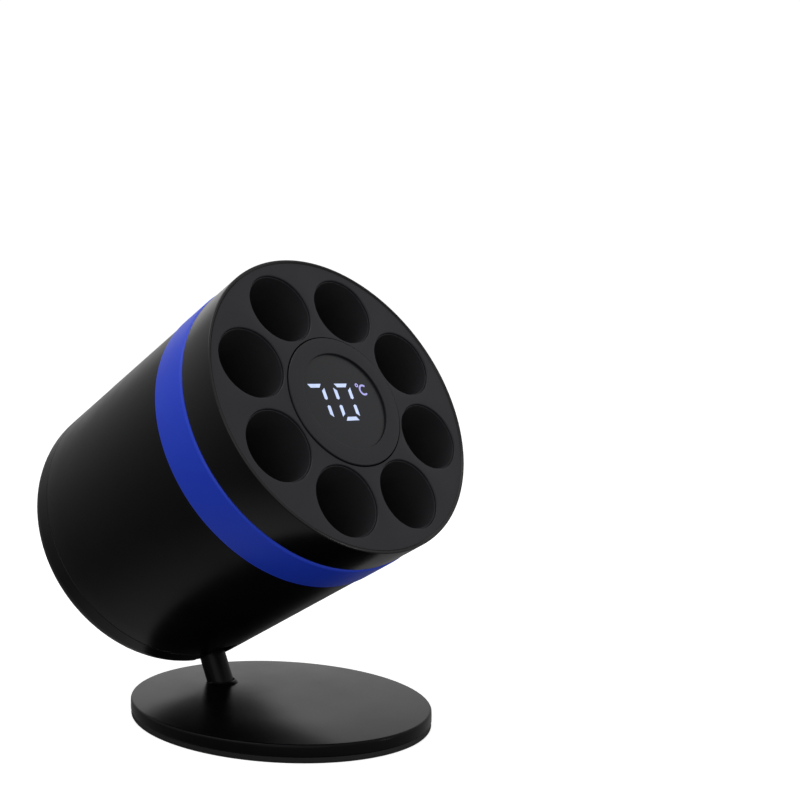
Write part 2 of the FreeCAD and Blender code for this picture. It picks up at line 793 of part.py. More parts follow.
def make_hinge_bracket():
    half = size.bracket_width / 2
    station = -post_station
    foot_back = frame_back + size.bracket_thickness
    bottom = pivot_y - size.knuckle_radius
    top = pivot_y + size.knuckle_radius
    pieces = [block("bracket_foot", -half, half, bottom, top, frame_back, foot_back)]
    for name, left, right in (("left", -ear_outside, -ear_inside), ("right", ear_inside, ear_outside)):
        pieces.append(block(f"ear_{name}", left, right, bottom, top, frame_back, post_station))
        pieces.append(cross_rod(f"ear_end_{name}", size.knuckle_radius, left, right, pivot_y, station))
    tools = [cross_rod("bracket_eye", size.pin_radius, -ear_outside * 2, ear_outside * 2, pivot_y, station)]
    for index, (x, y) in enumerate(bracket_screw_places()):
        tools.append(rod(f"bracket_hole_{index}", size.screw_radius + size.fit_clearance,
                         frame_back - size.bracket_thickness, foot_back + size.bracket_thickness, x, y))
    in_barrel(cut("hinge_bracket_cut", joined("bracket_blank", pieces), tools), "hinge_bracket")


def make_bracket_screws():
    under_head = frame_back + size.bracket_thickness
    tip = disc_back + size.moving_clearance
    items = screws("bracket_screw", bracket_screw_places(), tip, under_head)
    in_barrel(group("bracket_screw_group", items), "bracket_screws")


def make_hinge_pin():
    station = -post_station
    outer_end = ear_outside + size.pin_head_length
    pieces = [
        cross_rod("pin_shank", size.pin_radius, -ear_outside, ear_outside, pivot_y, station),
        cross_rod("pin_left_head", size.pin_head_radius, -outer_end, -ear_outside, pivot_y, station),
        cross_rod("pin_right_head", size.pin_head_radius, ear_outside, outer_end, pivot_y, station),
    ]
    in_barrel(joined("hinge_pin_joined", pieces), "hinge_pin")


def make_friction_washers():
    items = []
    station = -post_station
    near = size.knuckle_width / 2 + size.fit_clearance
    far = near + size.washer_thickness
    for name, left, right in (("left", -far, -near), ("right", near, far)):
        disc = cross_rod(f"washer_{name}_disc", size.knuckle_radius, left, right, pivot_y, station)
        hole = cross_rod(f"washer_{name}_hole", size.pin_radius, left - far, right + far, pivot_y, station)
        items.append(cut(f"washer_{name}", disc, [hole]))
    in_barrel(group("washer_group", items), "friction_washers")


def board_screw_places():
    half = size.control_width / 2 - size.control_margin
    low = control_top - size.control_height + size.control_margin
    high = control_top - size.control_margin
    return [(-half, low), (half, low), (half, high), (-half, high)]


def make_control_board():
    half_width = size.control_width / 2
    board = block("board_blank", -half_width, half_width, control_top - size.control_height, control_top,
                  control_front, control_back)
    holes = []
    for index, (x, y) in enumerate(board_screw_places()):
        holes.append(rod(f"board_hole_{index}", size.screw_radius + size.fit_clearance,
                         control_front - size.board_thickness, control_back + size.board_thickness, x, y))
    in_barrel(cut("control_board_cut", board, holes), "control_board")


def make_board_spacers():
    items = []
    for index, (x, y) in enumerate(board_screw_places()):
        outside = rod(f"spacer_outside_{index}", size.spacer_radius, frame_back, control_front, x, y)
        inside = rod(f"spacer_inside_{index}", size.screw_radius + size.fit_clearance,
                     frame_back - size.spacer_radius, control_front + size.spacer_radius, x, y)
        items.append(cut(f"spacer_{index}", outside, [inside]))
    in_barrel(group("spacer_group", items), "board_spacers")


def make_board_screws():
    tip = disc_back + size.moving_clearance
    items = screws("board_screw", board_screw_places(), tip, control_back)
    in_barrel(group("board_screw_group", items), "board_screws")


def make_power_transistor():
    left = -size.control_width / 4 - size.transistor_width / 2
    right = left + size.transistor_width
    bottom = control_offset - size.transistor_height / 2
    top = bottom + size.transistor_height
    item = block("transistor_block", left, right, bottom, top, control_back,
                 control_back + size.transistor_length)
    in_barrel(item, "power_transistor")


def make_board_capacitor():
    item = rod("capacitor_can", size.capacitor_radius, control_back, control_back + size.capacitor_length,
               size.control_width / 4, control_offset)
    in_barrel(item, "board_capacitor")


def make_power_inlet():
    y = -size.inlet_offset
    flange_end = size.barrel_length + size.inlet_flange
    barrel = rod("inlet_barrel", size.inlet_radius, size.barrel_length - size.inlet_length,
                 size.barrel_length, ZERO, y)
    flange = rod("inlet_flange", size.inlet_flange_radius, size.barrel_length, flange_end, ZERO, y)
    socket = rod("inlet_socket", size.socket_radius, flange_end - size.socket_depth,
                 flange_end + size.socket_depth, ZERO, y)
    pin = rod("inlet_pin", size.socket_pin_radius, flange_end - size.socket_depth,
              flange_end - size.inlet_flange, ZERO, y)
    hollow = cut("inlet_hollow", joined("inlet_blank", [barrel, flange]), [socket])
    in_barrel(joined("power_inlet_joined", [hollow, pin]), "power_inlet")


def make_display_cap():
    body = new_body("display_cap")
    top = -size.display_cap_proud
    seat = window_radius + size.lens_seat + size.fit_clearance
    feature = turned(body, [
        (window_radius, top),
        (display_cap_radius, top),
        (display_cap_radius, skirt_end),
        (hook_bore, skirt_end),
        (hook_bore, skirt_end - size.hook_thickness),
        (skirt_bore, skirt_end - size.hook_thickness),
        (skirt_bore, lens_back),
        (seat, lens_back),
        (seat, lens_front),
        (window_radius, lens_front),
    ])
    rings = [(display_cap_radius, top), (window_radius, top)]
    rounded(body, feature, size.display_cap_round, rings)
    in_barrel(body, "display_cap")


def make_display_lens():
    item = rod("lens_disc", window_radius + size.lens_seat, lens_front, lens_back)
    in_barrel(item, "display_lens")


def make_display_carrier():
    body = new_body("display_carrier")
    turned(body, [
        (carrier_bore, flange_front),
        (flange_radius, flange_front),
        (flange_radius, flange_back),
        (carrier_radius, flange_back),
        (carrier_radius, core_front),
        (carrier_bore, core_front),
    ])
    in_barrel(body, "display_carrier")


def make_led_display():
    item = block("display_block", -display_half_width, display_half_width, -display_half_height,
                 display_half_height, display_front, display_back)
    in_barrel(item, "led_display")


def make_display_board():
    radius = carrier_bore - size.fit_clearance
    item = rod("display_disc", radius, display_back, display_back + size.board_thickness)
    in_barrel(item, "display_board")


def make_mode_switch():
    middle = -switch_offset
    front = display_back - size.switch_height
    case = block("switch_case", -switch_half, switch_half, middle - switch_half, middle + switch_half,
                 front, display_back)
    depth = size.plunger_engagement + size.press_travel + size.moving_clearance
    hole = rod("switch_hole", size.plunger_radius + size.fit_clearance * 2, front - depth, front + depth,
               ZERO, middle)
    in_barrel(cut("mode_switch_cut", case, [hole]), "mode_switch")


def make_switch_plunger():
    end = display_back - size.switch_height + size.plunger_engagement
    item = rod("plunger_rod", size.plunger_radius, lens_back, end, ZERO, -switch_offset)
    in_barrel(item, "switch_plunger")


def make_display_cable():
    half = size.cable_width / 2
    thick = size.cable_thickness
    board_back = display_back + size.board_thickness
    low_edge = control_top - size.control_height + size.control_margin
    run = block("cable_run", -half, half, -thick / 2, thick / 2, board_back, control_front)
    rise = block("cable_rise", -half, half, -thick / 2, low_edge, control_front - thick, control_front)
    in_barrel(joined("display_cable_joined", [run, rise]), "display_cable")


make_base_pad()
make_base_plate()
make_post()
make_post_collar()
make_front_cap()
make_face_plate()
make_accent_ring()
make_body_shell()
make_rear_cap()
make_rear_cap_screws()
make_well_cups()
make_heater_core()
make_temperature_sensor()
make_heater_mat()
make_insulation_disc()
make_insulation_sleeve()
make_rear_frame()
make_core_standoffs()
make_core_screws()
make_hinge_bracket()
make_bracket_screws()
make_hinge_pin()
make_friction_washers()
make_control_board()
make_board_spacers()
make_board_screws()
make_power_transistor()
make_board_capacitor()
make_power_inlet()
make_display_cap()
make_display_lens()
make_display_carrier()
make_led_display()
make_display_board()
make_mode_switch()
make_switch_plunger()
make_display_cable()
doc.recompute()

for item in doc.Objects:
    if "Invalid" in item.State or "Error" in item.State:
        raise RuntimeError(f"{item.Label} failed")
for item in parts:
    if item.Shape.isNull() or not item.Shape.isValid():
        raise RuntimeError(f"{item.Label} has no valid shape")

os.makedirs("parts", exist_ok=True)
for item in parts:
    item.Shape.exportStep(f"parts/{item.Label}.step")
    print(f"{item.Label}: {len(item.Shape.Solids)} solids, {item.Shape.Volume:.1f} cubic millimetres")
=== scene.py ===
# %% [markdown]
# # Dry block heater
# A small bench heater for tubes: a round barrel with a ring of wells, tilted on a short post
# and an oval foot. The CAD model is loaded first and stays where it is. Most sizes below are read
# from it, so the finished surfaces fit the working parts underneath.

import json
import math

import bmesh
import bpy
import numpy as np
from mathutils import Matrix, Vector


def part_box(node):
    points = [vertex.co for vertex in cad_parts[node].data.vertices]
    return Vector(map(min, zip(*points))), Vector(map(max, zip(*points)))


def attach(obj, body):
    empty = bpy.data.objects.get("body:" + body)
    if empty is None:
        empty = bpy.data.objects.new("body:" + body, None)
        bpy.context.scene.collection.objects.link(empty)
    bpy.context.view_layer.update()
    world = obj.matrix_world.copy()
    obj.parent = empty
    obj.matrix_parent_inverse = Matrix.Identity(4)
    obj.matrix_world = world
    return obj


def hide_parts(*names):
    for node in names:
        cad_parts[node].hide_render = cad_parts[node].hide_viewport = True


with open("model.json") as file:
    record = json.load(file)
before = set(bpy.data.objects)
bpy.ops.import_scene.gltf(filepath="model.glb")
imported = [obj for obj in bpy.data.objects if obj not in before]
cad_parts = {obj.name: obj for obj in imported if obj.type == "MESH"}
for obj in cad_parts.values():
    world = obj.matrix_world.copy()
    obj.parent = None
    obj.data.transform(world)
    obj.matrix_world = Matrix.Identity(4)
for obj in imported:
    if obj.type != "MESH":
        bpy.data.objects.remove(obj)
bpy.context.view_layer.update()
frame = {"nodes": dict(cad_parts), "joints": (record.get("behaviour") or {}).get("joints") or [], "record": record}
nodes = frame["nodes"]
joints = {joint["name"]: joint for joint in frame["joints"]}
MM = 0.001

# %% [markdown]
# ## The barrel's own directions
# The barrel leans back, so its pieces are easiest to describe in its own directions:
# across to the right, up the face, and depth behind the face.
# The display cap slides straight into the barrel, so its joint gives the barrel's axis.

# %% Barrel directions
inward = np.array(joints["display_press"]["axis"], float)
inward /= np.linalg.norm(inward)
across = np.array((1.0, 0.0, 0.0))
upward = np.cross(across, inward)


def node_points(name):
    """All vertices of a CAD node, in metres."""
    mesh = nodes[name].data
    points = np.empty(len(mesh.vertices) * 3, np.float32)
    mesh.vertices.foreach_get("co", points)
    return points.reshape(-1, 3).astype(float)


lens_low, lens_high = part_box("display_lens")
lens_middle = np.array((lens_low + lens_high) / 2)
face_depth = ((node_points("face_plate") - lens_middle) @ inward).min()
face_middle = lens_middle + inward * face_depth


def on_barrel(x, y, depth):
    """Barrel millimetres become a point: face middle + x across + y upward + depth inward."""
    x, y, depth = np.broadcast_arrays(x, y, depth)
    offset = x[..., None] * across + y[..., None] * upward + depth[..., None] * inward
    return face_middle + offset * MM


def reach(name):
    """Front and back depth, least and greatest radius of a CAD node in the barrel, in millimetres."""
    offset = (node_points(name) - face_middle) / MM
    depth = offset @ inward
    radius = np.hypot(offset @ across, offset @ upward)
    return depth.min(), depth.max(), radius.min(), radius.max()


print("face middle in millimetres:", np.round(face_middle / MM, 2), "inward:", np.round(inward, 3))

# %% [markdown]
# ## From a surface to a mesh
# Each new piece is a grid of points worked out as one array, so making the mesh is the same job
# every time. A loop that closes on itself joins its last row to its first.
# Merging points that coincide closes seams and poles, and a last pass turns every face outwards.

# %% Mesh helpers
SHARP = math.radians(38)
MERGE = 1e-6  # metres
finish = {}  # material slot to material, filled below


def grid_faces(rows, columns, close_rows=False, close_columns=True):
    """Quads between neighbouring grid points, numbered row by row."""
    row = np.arange(rows if close_rows else rows - 1)[:, None]
    column = np.arange(columns if close_columns else columns - 1)[None, :]
    next_row = (row + 1) % rows
    next_column = (column + 1) % columns
    corners = [row * columns + column, row * columns + next_column]
    corners += [next_row * columns + next_column, next_row * columns + column]
    return np.stack(np.broadcast_arrays(*corners), -1).reshape(-1, 4)


def add_piece(name, points, faces, body, replaced, slot, material=None):
    """Puts points and faces into a closed mesh, dresses it, and hands it to the body that carries it."""
    mesh = bpy.data.meshes.new(name)
    mesh.from_pydata(np.asarray(points).reshape(-1, 3).tolist(), [], [list(face) for face in faces])
    work = bmesh.new()
    work.from_mesh(mesh)
    bmesh.ops.remove_doubles(work, verts=work.verts, dist=MERGE)
    bmesh.ops.dissolve_degenerate(work, edges=work.edges, dist=MERGE / 10)
    loose = [edge for edge in work.edges if not edge.link_faces]
    bmesh.ops.delete(work, geom=loose, context="EDGES")
    bmesh.ops.recalc_face_normals(work, faces=work.faces)
    open_edges = sum(not edge.is_manifold for edge in work.edges)
    work.to_mesh(mesh)
    work.free()
    mesh.shade_smooth()
    mesh.set_sharp_from_angle(angle=SHARP)
    mesh.materials.append(material or finish[slot])
    piece = bpy.data.objects.new(name, mesh)
    bpy.context.scene.collection.objects.link(piece)
    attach(piece, body)
    if replaced:
        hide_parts(*replaced)
    print(f"{name}: {len(mesh.polygons)} faces, {open_edges} open edges")


# %% [markdown]
# ## Rounded profiles
# Moulded and turned pieces have no razor edges: every corner has a small round, which catches the light.
# A profile is given as corners with a radius each, and the arcs are worked out for all corners at once.

# %% Profiles with rounded corners
ARC_STEPS = 9
TINY = 1e-9  # keeps a division from meeting zero


def rounded(corners):
    """Corners (radius, depth, round) become a closed line.

    At each corner the arc's middle lies on the bisector, round / sin(half angle) away,
    and the arc turns from one tangent point to the other in equal steps.
    """
    corners = np.array(corners, float)
    point, size = corners[:, :2], corners[:, 2:3]
    before = np.roll(point, 1, 0) - point
    after = np.roll(point, -1, 0) - point
    before /= np.linalg.norm(before, axis=1, keepdims=True)
    after /= np.linalg.norm(after, axis=1, keepdims=True)
    half = np.arccos(np.clip((before * after).sum(1, keepdims=True), -1, 1)) / 2
    middle_way = before + after
    middle_way /= np.maximum(np.linalg.norm(middle_way, axis=1, keepdims=True), TINY)
    centre = point + middle_way * size / np.sin(half)
    start = point + before * size / np.tan(half) - centre
    end = point + after * size / np.tan(half) - centre
    turn = np.pi - 2 * half
    share = np.linspace(0, 1, ARC_STEPS)[None, :, None]
    swing = np.maximum(np.sin(turn), TINY)[:, None]
    weights = np.sin((1 - share) * turn[:, None]) / swing, np.sin(share * turn[:, None]) / swing
    arcs = centre[:, None] + weights[0] * start[:, None] + weights[1] * end[:, None]
    arcs = np.where(size[:, None] > 0, arcs, point[:, None])
    return arcs.reshape(-1, 2)


TURNS = 240


def lathe(profile, x=0.0, y=0.0, turns=TURNS):
    """Carries a closed line of (radius, depth) round an axis along the barrel through (x, y)."""
    angle = np.linspace(0, 2 * np.pi, turns, endpoint=False)
    radius, depth = profile[:, :1], profile[:, 1:]
    points = on_barrel(x + radius * np.cos(angle), y + radius * np.sin(angle), depth)
    return points.reshape(-1, 3), grid_faces(len(profile), turns, close_rows=True)


print("a corner's round has", ARC_STEPS, "points, a turned piece", TURNS, "steps")

# %% [markdown]
# ## Colour and the two recipes
# Screens show sRGB, but a shader calculates with linear light, so one function turns hex to linear.
# Most surfaces here are moulded, coated or cut metal. Two recipes cover them: a moulded one, whose
# shade and gloss drift in soft patches over a fine grain, and a metal one with thin tool marks.

# %% Material helpers
def linear(text):
    """An sRGB hex colour as linear red, green, blue and alpha."""
    value = np.array([int(text[i:i + 2], 16) for i in (1, 3, 5)]) / 255
    value = np.where(value <= 0.04045, value / 12.92, ((value + 0.055) / 1.055) ** 2.4)
    return (*value, 1.0)


def add(tree, kind, inputs=None, **settings):
    """Adds a node, sets its properties, and sets or links its inputs."""
    node = tree.nodes.new(kind)
    for name, value in settings.items():
        setattr(node, name, value)
    for name, value in (inputs or {}).items():
        if isinstance(value, bpy.types.NodeSocket):
            tree.links.new(value, node.inputs[name])
        else:
            node.inputs[name].default_value = value
    return node


def per(size):
    """Texture scale of a pattern whose features are that many millimetres apart."""
    return 1 / (size * MM)


def new_material(name):
    """An empty material with its shader and its object coordinates."""
    material = bpy.data.materials.new(name)
    material.use_nodes = True
    tree = material.node_tree
    shader = tree.nodes["Principled BSDF"]
    place = add(tree, "ShaderNodeTexCoord").outputs["Object"]
    return material, tree, shader, place


def surface(tree, shader, pattern, low, high, roughness, spread):
    """A pattern from 0 to 1 mixes two shades and moves the roughness either way by the spread."""
    shade = add(tree, "ShaderNodeMix", {0: pattern, 6: linear(low), 7: linear(high)}, data_type="RGBA")
    gloss = add(tree, "ShaderNodeMapRange", {"Value": pattern, "From Min": 0.25, "From Max": 0.75,
                                             "To Min": roughness - spread, "To Max": roughness + spread})
    tree.links.new(shade.outputs[2], shader.inputs["Base Color"])
    tree.links.new(gloss.outputs["Result"], shader.inputs["Roughness"])


def lift(tree, shader, height, relief):
    """A height pattern tilts the surface's normal; relief is its depth in millimetres."""
    bump = add(tree, "ShaderNodeBump", {"Height": height, "Distance": relief * MM, "Strength": 1.0})
    tree.links.new(bump.outputs["Normal"], shader.inputs["Normal"])


PATCH = 9.0  # millimetres between the soft patches of a moulded surface


def moulded(name, low, high, roughness, grain, relief, spread=0.04, ior=1.5):
    """Soft patches carry the shade and the gloss, and a fine grain lifts the surface."""
    material, tree, shader, place = new_material(name)
    patches = add(tree, "ShaderNodeTexNoise", {"Vector": place, "Scale": per(PATCH), "Detail": 4.0})
    fine = add(tree, "ShaderNodeTexNoise", {"Vector": place, "Scale": per(grain), "Detail": 2.0})
    surface(tree, shader, patches.outputs["Fac"], low, high, roughness, spread)
    lift(tree, shader, fine.outputs["Fac"], relief)
    shader.inputs["IOR"].default_value = ior
    return material


def metal(name, low, high, roughness, marks, stretch, relief, spread=0.08):
    """Tool marks are noise drawn out to thin lines; the stretch is their length along each axis."""
    material, tree, shader, place = new_material(name)
    drawn = add(tree, "ShaderNodeMapping", {"Vector": place, "Scale": [1 / value for value in stretch]})
    drawn_place = drawn.outputs["Vector"]
    lines = add(tree, "ShaderNodeTexNoise", {"Vector": drawn_place, "Scale": per(marks), "Detail": 3.0})
    surface(tree, shader, lines.outputs["Fac"], low, high, roughness, spread)
    lift(tree, shader, lines.outputs["Fac"], relief)
    shader.inputs["Metallic"].default_value = 1.0
    return material


print("linear mid grey:", np.round(linear("#808080")[:3], 3))

# %% [markdown]
# ## Outer plastics
# The shells are ABS from moulds with different surfaces. A spark-eroded mould leaves the barrel satin,
# a polished one leaves the front cap glossy, and the face plate has a finer, flatter texture.
# The ring is the same plastic, dyed blue. Real mould texture is about 0.05 mm and would vanish here,
# so each grain is drawn several times coarser. A textured skin mirrors less than smooth plastic,
# so the satin finishes have an IOR below the plastic's own 1.5, matched to the object's dull sheen.

# %% Plastics
# Satin moulded ABS: near black, with a soft wide highlight and a barely visible grain.
finish["satin_black_plastic"] = moulded("satin_moulded_abs", "#0f0f10", "#141415",
                                        roughness=0.32, grain=0.35, relief=0.004, ior=1.34)
# Polished ABS: as black, but smoother, so it mirrors the studio in soft shapes.
finish["gloss_black_plastic"] = moulded("polished_abs", "#0b0b0d", "#0e0e11",
                                        roughness=0.22, grain=4.0, relief=0.004, spread=0.015)
# Dyed ABS: the dye shows deep blue, and the satin mould dulls its highlight.
finish["blue_plastic"] = moulded("dyed_satin_abs", "#2b50fa", "#3158ff",
                                 roughness=0.42, grain=0.4, relief=0.004, ior=1.42)
# Finely textured ABS: a greyer, evenly lit black.
finish["face_plastic"] = moulded("fine_textured_abs", "#1f1e24", "#24232a",
                                 roughness=0.42, grain=0.30, relief=0.003, ior=1.45)
# Glass-filled nylon inside the barrel: dull and slightly mottled by its fibres.
finish["frame_plastic"] = moulded("glass_filled_nylon", "#2c2c30", "#3b3b40",
                                  roughness=0.55, grain=0.5, relief=0.01)
# Moulded epoxy around the electronic parts.
finish["component_black"] = moulded("moulded_epoxy", "#151516", "#1d1d1f",
                                    roughness=0.5, grain=0.3, relief=0.005)
# Turned acetal: milky white and slippery.
finish["acetal"] = moulded("turned_acetal", "#d8d5cb", "#e4e1d8",
                           roughness=0.35, grain=0.4, relief=0.004, ior=1.48)
# Flat cable sheath: soft grey vinyl.
finish["cable_grey"] = moulded("flat_cable_vinyl", "#8a8a8e", "#98989c",
                               roughness=0.5, grain=0.6, relief=0.006)
# The digit module's case: dark grey moulded polyphenylene.
finish["digit_module"] = moulded("moulded_polyphenylene", "#242428", "#2c2c31",
                                 roughness=0.3, grain=0.4, relief=0.004)
print("plastics:", ", ".join(material.name for material in finish.values()))

# %% [markdown]
# ## Coated steel, rubber and the inner materials
# The foot is a heavy steel plate with a satin powder coat, which flows out into a faint orange peel.
# The pad under it is grip rubber. Inside are an extruded aluminium core, black anodised cups,
# a silicone heater mat and glass felt. Plain colours would do for what is hidden, but the same two
# recipes make it look right when the object is taken apart.

# %% Metals and the rest
# Powder coat: a plastic skin, so it isn't metallic; its peel is about 1.5 mm from crest to crest.
# Its sheen is weak on this object, so its IOR is low too.
finish["black_steel"] = moulded("powder_coated_steel", "#0a0a0b", "#0e0e0f",
                                roughness=0.24, grain=1.5, relief=0.008, spread=0.03, ior=1.22)
# Grip rubber: dull, because its surface scatters nearly all of the light.
finish["grip_rubber"] = moulded("moulded_grip_rubber", "#0f0f10", "#151516",
                                roughness=0.72, grain=0.5, relief=0.02, ior=1.52)
# Silicone rubber, pressed in a mould with a cloth-like surface.
finish["silicone"] = moulded("pressed_silicone", "#a8482c", "#b65236",
                             roughness=0.6, grain=0.8, relief=0.03, ior=1.41)
# Needled glass felt: pale and fibrous.
finish["glass_felt"] = moulded("needled_glass_felt", "#cfc8b6", "#e2ddcf",
                               roughness=0.9, grain=0.4, relief=0.12)
# Solder mask over fibreglass: green lacquer.
finish["circuit_board"] = moulded("solder_masked_fibreglass", "#0f5a2c", "#156a36",
                                  roughness=0.28, grain=0.6, relief=0.004)
# Black anodised aluminium: the dyed oxide hides the metal, so it is drawn as a dull dark skin.
finish["black_aluminium"] = moulded("black_anodised_aluminium", "#303033", "#3c3c3f",
                                    roughness=0.42, grain=0.5, relief=0.003)
# Extruded aluminium: bright, with fine lines along the barrel.
finish["bare_aluminium"] = metal("extruded_aluminium", "#b4b6ba", "#d2d4d8",
                                 roughness=0.32, marks=0.3, stretch=(1, 30, 15), relief=0.01)
# Zinc-plated steel: cool grey, softly mirrored.
finish["steel"] = metal("zinc_plated_steel", "#9fa3a8", "#c3c6ca",
                        roughness=0.28, marks=0.4, stretch=(1, 4, 4), relief=0.004)
# Turned brass: warm, with rings from the lathe.
finish["brass"] = metal("turned_brass", "#b58a3c", "#d2aa5a",
                        roughness=0.25, marks=0.25, stretch=(12, 1, 1), relief=0.006)
print("finishes so far:", len(finish))

# %% [markdown]
# ## The display window
# The window is smoked acrylic: polished, nearly black, and faintly lit from behind around the digits.
# That glow is emission that falls off with the distance from the digits' middle.
# A clear, tinted solid would be truer, but a dark polished skin looks the same and renders faster.

# %% Smoked acrylic
GLOW_REACH, GLOW_STRENGTH = 8.0, 0.006  # millimetres, emission at the middle
GLOW_PLACE = (0.5, -2.0)  # millimetres across and up the face
ACRYLIC_IOR = 1.49
material, tree, shader, place = new_material("smoked_acrylic")
patches = add(tree, "ShaderNodeTexNoise", {"Vector": place, "Scale": per(PATCH), "Detail": 3.0})
surface(tree, shader, patches.outputs["Fac"], "#1c1d21", "#202126", 0.30, 0.02)
lens_front = reach("display_lens")[0]
glow_middle = on_barrel(*GLOW_PLACE, lens_front)
offset = add(tree, "ShaderNodeVectorMath", {0: place, 1: glow_middle}, operation="DISTANCE")
fall = add(tree, "ShaderNodeMapRange", {"Value": offset.outputs["Value"], "From Min": 0.0,
                                        "From Max": GLOW_REACH * MM, "To Min": GLOW_STRENGTH, "To Max": 0.0},
           interpolation_type="SMOOTHSTEP")
tree.links.new(fall.outputs["Result"], shader.inputs["Emission Strength"])
shader.inputs["Emission Color"].default_value = linear("#8c93ff")
shader.inputs["IOR"].default_value = ACRYLIC_IOR
finish["lens_plastic"] = material
print("glow middle in millimetres:", np.round(np.array(glow_middle) / MM, 1))

# %% [markdown]
# ## Every CAD node gets its finish
# The record names a material slot for each node, so a loop can dress all of them, seen or hidden.

# %% Dress the CAD nodes
for part in frame["record"]["subparts"]:
    mesh = nodes[part["node"]].data
    mesh.materials.clear()
    mesh.materials.append(finish[part["material_slot"]])

# %% [markdown]
# ## Front cap and accent ring
# The gloss cap is one moulding that grips the face plate and runs on under the blue ring as a spigot.
# Its lip stands a little above the face and slopes down to it.
# Both are turned shapes, so a rounded profile carried round the barrel axis gives them exactly.
# A cylinder with a bevel would also do, but the profile keeps the steps that the other pieces sit in.

# %% Front cap and ring
FIT = 0.05  # millimetres left between neighbouring pieces
CAP_EDGE, STEP_EDGE, RING_FRONT_EDGE, RING_BACK_EDGE = 0.3, 0.2, 0.85, 0.4
LIP_PROUD, LIP_SLOPE = 0.3, 0.3  # millimetres, the cap's lip above the face and the width of its slope
cap_front, cap_back, cap_bore, cap_radius = reach("front_cap")
ring_front, ring_back, ring_bore, ring_radius = reach("accent_ring")
_, plate_back, plate_bore, plate_radius = reach("face_plate")
cap_profile = rounded([
    (cap_bore, plate_back, 0),
    (plate_radius + FIT, plate_back, 0),
    (plate_radius + FIT, cap_front, 0),
    (plate_radius + FIT + LIP_SLOPE, cap_front - LIP_PROUD, 0),
    (cap_radius, cap_front - LIP_PROUD, CAP_EDGE),
    (cap_radius, ring_front - FIT, STEP_EDGE),
    (ring_bore - FIT, ring_front - FIT, 0),
    (ring_bore - FIT, cap_back, 0),
    (cap_bore, cap_back, 0),
])
add_piece("front_cap_moulding", *lathe(cap_profile), "barrel", ["front_cap"], "gloss_black_plastic")
ring_profile = rounded([
    (ring_bore, ring_front, 0),
    (ring_radius, ring_front, RING_FRONT_EDGE),
    (ring_radius, ring_back, RING_BACK_EDGE),
    (ring_bore, ring_back, 0),
])
add_piece("accent_ring_band", *lathe(ring_profile), "barrel", ["accent_ring"], "blue_plastic")

# %% [markdown]
# ## Body tube
# The long tube is open at the back, and a notch under it lets the barrel tilt on its post.
# A boolean would cut the notch, but leaves long thin triangles in a smooth wall. Here the grid has
# columns exactly at the notch's sides, its cells inside the notch are left out, and three walls
# close the gap.

# %% Body tube
def notched_lathe(profile, first, last, half_angle, columns_inside=8):
    """As lathe, but rows first to last are left out within the half angle of the underside."""
    side = np.linspace(half_angle, 2 * np.pi - half_angle, TURNS)
    inside = np.linspace(-half_angle, half_angle, columns_inside + 1)[1:-1]
    angle = np.concatenate([side, inside + 2 * np.pi]) - np.pi / 2
    columns = len(angle)
    radius, depth = profile[:, :1], profile[:, 1:]
    points = on_barrel(radius * np.cos(angle), radius * np.sin(angle), depth)
    faces = grid_faces(len(profile), columns, close_rows=True)
    row, column = np.divmod(np.arange(len(faces)), columns)
    left_out = (row >= first) & (row < last) & (column >= TURNS - 1)
    over = np.append(np.arange(TURNS - 1, columns), 0)
    near, far = first * columns + over, last * columns + over
    end_wall = np.stack([near[:-1], near[1:], far[1:], far[:-1]], -1)
    stretch = np.arange(first, last + 1) * columns
    side_walls = [stretch + TURNS - 1, stretch]
    return points.reshape(-1, 3), [*faces[~left_out], *end_wall, *side_walls]


FRONT_EDGE, BACK_EDGE, BORE_EDGE = 0.25, 0.3, 0.2
UNDERSIDE = 0.8  # share of the radius below which a point belongs to the underside
body_front, body_back, body_bore, body_radius = reach("body_shell")
shell = (node_points("body_shell") - face_middle) / MM
shell_x, shell_y, shell_depth = np.abs(shell @ across), shell @ upward, shell @ inward
underneath = (shell_y < -UNDERSIDE * body_radius) & (shell_depth > (body_front + body_back) / 2)
slot_half = shell_x[underneath & (shell_depth > body_back - FIT)].min()
slot_front = shell_depth[underneath & (shell_x < slot_half + FIT)].min()
slot_angle = math.asin(slot_half / body_radius)
body_profile = rounded([
    (ring_bore, body_front, 0),
    (body_radius, body_front, FRONT_EDGE),
    (body_radius, slot_front, 0),
    (body_radius, body_back, BACK_EDGE),
    (body_bore, body_back, BORE_EDGE),
    (body_bore, slot_front, 0),
    (body_bore, cap_back + FIT, 0),
    (ring_bore, cap_back + FIT, 0),
])
# The notch takes the rows from its front end on the outside, round the back, to its front end in the bore.
notch_first, notch_last = 3 * ARC_STEPS - 1, 5 * ARC_STEPS
tube = notched_lathe(body_profile, notch_first, notch_last, slot_angle)
add_piece("body_tube", *tube, "barrel", ["body_shell"], "satin_black_plastic")
print(f"slot {2 * slot_half:.2f} mm wide, from {slot_front:.2f} mm behind the face")

# %% [markdown]
# ## Seam bead
# The rear cap has a thin polished bead on its rim, which closes the seam behind the tube.
# It is half round, so it draws a fine light line where it mirrors the studio.
# The bead stops at both sides of the notch. A torus would have to be cut there, so it is an open arc
# of the profile with closed ends.

